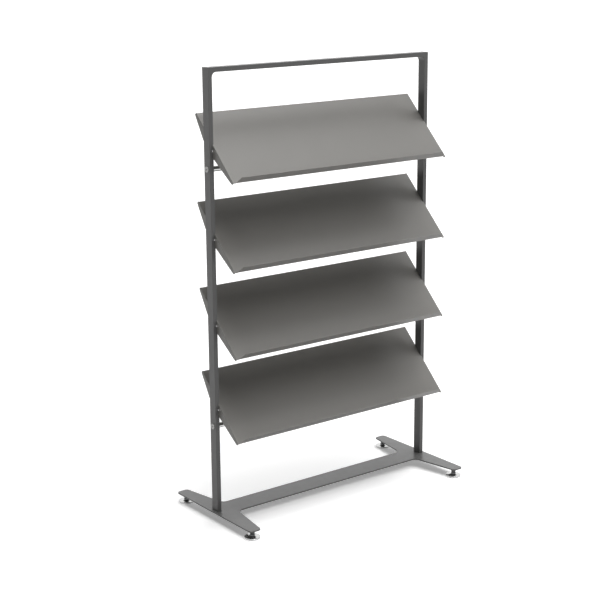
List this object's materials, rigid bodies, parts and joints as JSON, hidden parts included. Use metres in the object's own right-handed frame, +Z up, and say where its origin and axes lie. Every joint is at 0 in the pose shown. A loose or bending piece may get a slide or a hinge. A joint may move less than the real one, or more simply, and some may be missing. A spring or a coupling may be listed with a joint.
{
  "type": "periodical display rack",
  "caption": "Free-standing rack: a flat-bar frame on a flat base plate with levelling feet carries sloping sheet shelves with front lips that tilt on end pivots.",
  "frame": {"origin": "on the floor, under the middle of the rack, midway between the posts", "axes": "+Z up, along the posts; +X along the shelves, to the right of a reader who faces the displays; -Y towards the reader"},
  "size_m": [1.03, 0.486, 1.64],
  "materials": {
    "frame_paint": "satin powder coat",
    "shelf_paint": "satin powder coat",
    "bright_chrome": "polished",
    "satin_steel": "satin",
    "zinc_steel": "zinc plated",
    "glide_plastic": "matte",
    "washer_plastic": "matte"
  },
  "bodies": {
    "frame": {"base_plate": "frame_paint", "top_rail": "frame_paint", "left_post": "frame_paint", "right_post": "frame_paint", "left_post_screws": "zinc_steel", "right_post_screws": "zinc_steel", "upper_tie_tube": "bright_chrome", "upper_tube_plugs": "zinc_steel", "upper_tie_bolts": "satin_steel", "lower_tie_tube": "bright_chrome", "lower_tube_plugs": "zinc_steel", "lower_tie_bolts": "satin_steel", "shelf_1_pivot_screws": "zinc_steel", "shelf_1_pivot_washers": "washer_plastic", "shelf_2_pivot_screws": "zinc_steel", "shelf_2_pivot_washers": "washer_plastic", "shelf_3_pivot_screws": "zinc_steel", "shelf_3_pivot_washers": "washer_plastic", "shelf_4_pivot_screws": "zinc_steel", "shelf_4_pivot_washers": "washer_plastic", "foot_boss_front_left": "frame_paint", "foot_boss_front_right": "frame_paint", "foot_boss_back_left": "frame_paint", "foot_boss_back_right": "frame_paint"},
    "shelf_1": {"shelf_1": "shelf_paint", "shelf_1_stop_pins": "bright_chrome"},
    "shelf_2": {"shelf_2": "shelf_paint", "shelf_2_stop_pins": "bright_chrome"},
    "shelf_3": {"shelf_3": "shelf_paint", "shelf_3_stop_pins": "bright_chrome"},
    "shelf_4": {"shelf_4": "shelf_paint", "shelf_4_stop_pins": "bright_chrome"},
    "foot_pad_front_left": {"foot_dome_front_left": "bright_chrome", "foot_glide_front_left": "glide_plastic"},
    "foot_stem_front_left": {"foot_stem_front_left": "zinc_steel"},
    "foot_pad_front_right": {"foot_dome_front_right": "bright_chrome", "foot_glide_front_right": "glide_plastic"},
    "foot_stem_front_right": {"foot_stem_front_right": "zinc_steel"},
    "foot_pad_back_left": {"foot_dome_back_left": "bright_chrome", "foot_glide_back_left": "glide_plastic"},
    "foot_stem_back_left": {"foot_stem_back_left": "zinc_steel"},
    "foot_pad_back_right": {"foot_dome_back_right": "bright_chrome", "foot_glide_back_right": "glide_plastic"},
    "foot_stem_back_right": {"foot_stem_back_right": "zinc_steel"}
  },
  "joints": [
    {"name": "shelf_1_tilt", "type": "hinge", "parent": "frame", "child": "shelf_1", "pos_m": [0, 0, 1.3719], "axis": [-1, 0, 0], "range_deg": [0, 73]},
    {"name": "shelf_2_tilt", "type": "hinge", "parent": "frame", "child": "shelf_2", "pos_m": [0, 0, 1.0616], "axis": [-1, 0, 0], "range_deg": [0, 73]},
    {"name": "shelf_3_tilt", "type": "hinge", "parent": "frame", "child": "shelf_3", "pos_m": [0, 0, 0.7513], "axis": [-1, 0, 0], "range_deg": [0, 73]},
    {"name": "shelf_4_tilt", "type": "hinge", "parent": "frame", "child": "shelf_4", "pos_m": [0, 0, 0.441], "axis": [-1, 0, 0], "range_deg": [0, 73]},
    {"name": "foot_front_left_height", "type": "slide", "parent": "frame", "child": "foot_pad_front_left", "axis": [0, 0, -1], "range_m": [-0.0025, 0.005]},
    {"name": "foot_front_left_turn", "type": "hinge", "parent": "foot_pad_front_left", "child": "foot_stem_front_left", "pos_m": [-0.486, -0.214, 0.02], "axis": [0, 0, -1], "range_deg": [-601, 1201]},
    {"name": "foot_front_right_height", "type": "slide", "parent": "frame", "child": "foot_pad_front_right", "axis": [0, 0, -1], "range_m": [-0.0025, 0.005]},
    {"name": "foot_front_right_turn", "type": "hinge", "parent": "foot_pad_front_right", "child": "foot_stem_front_right", "pos_m": [0.486, -0.214, 0.02], "axis": [0, 0, -1], "range_deg": [-601, 1201]},
    {"name": "foot_back_left_height", "type": "slide", "parent": "frame", "child": "foot_pad_back_left", "axis": [0, 0, -1], "range_m": [-0.0025, 0.005]},
    {"name": "foot_back_left_turn", "type": "hinge", "parent": "foot_pad_back_left", "child": "foot_stem_back_left", "pos_m": [-0.486, 0.214, 0.02], "axis": [0, 0, -1], "range_deg": [-601, 1201]},
    {"name": "foot_back_right_height", "type": "slide", "parent": "frame", "child": "foot_pad_back_right", "axis": [0, 0, -1], "range_m": [-0.0025, 0.005]},
    {"name": "foot_back_right_turn", "type": "hinge", "parent": "foot_pad_back_right", "child": "foot_stem_back_right", "pos_m": [0.486, 0.214, 0.02], "axis": [0, 0, -1], "range_deg": [-601, 1201]}
  ],
  "couplings": [
    {"joint": "foot_front_left_turn", "follows": "foot_front_left_height", "rad_per_m": 4188.8},
    {"joint": "foot_front_right_turn", "follows": "foot_front_right_height", "rad_per_m": 4188.8},
    {"joint": "foot_back_left_turn", "follows": "foot_back_left_height", "rad_per_m": 4188.8},
    {"joint": "foot_back_right_turn", "follows": "foot_back_right_height", "rad_per_m": 4188.8}
  ]
}
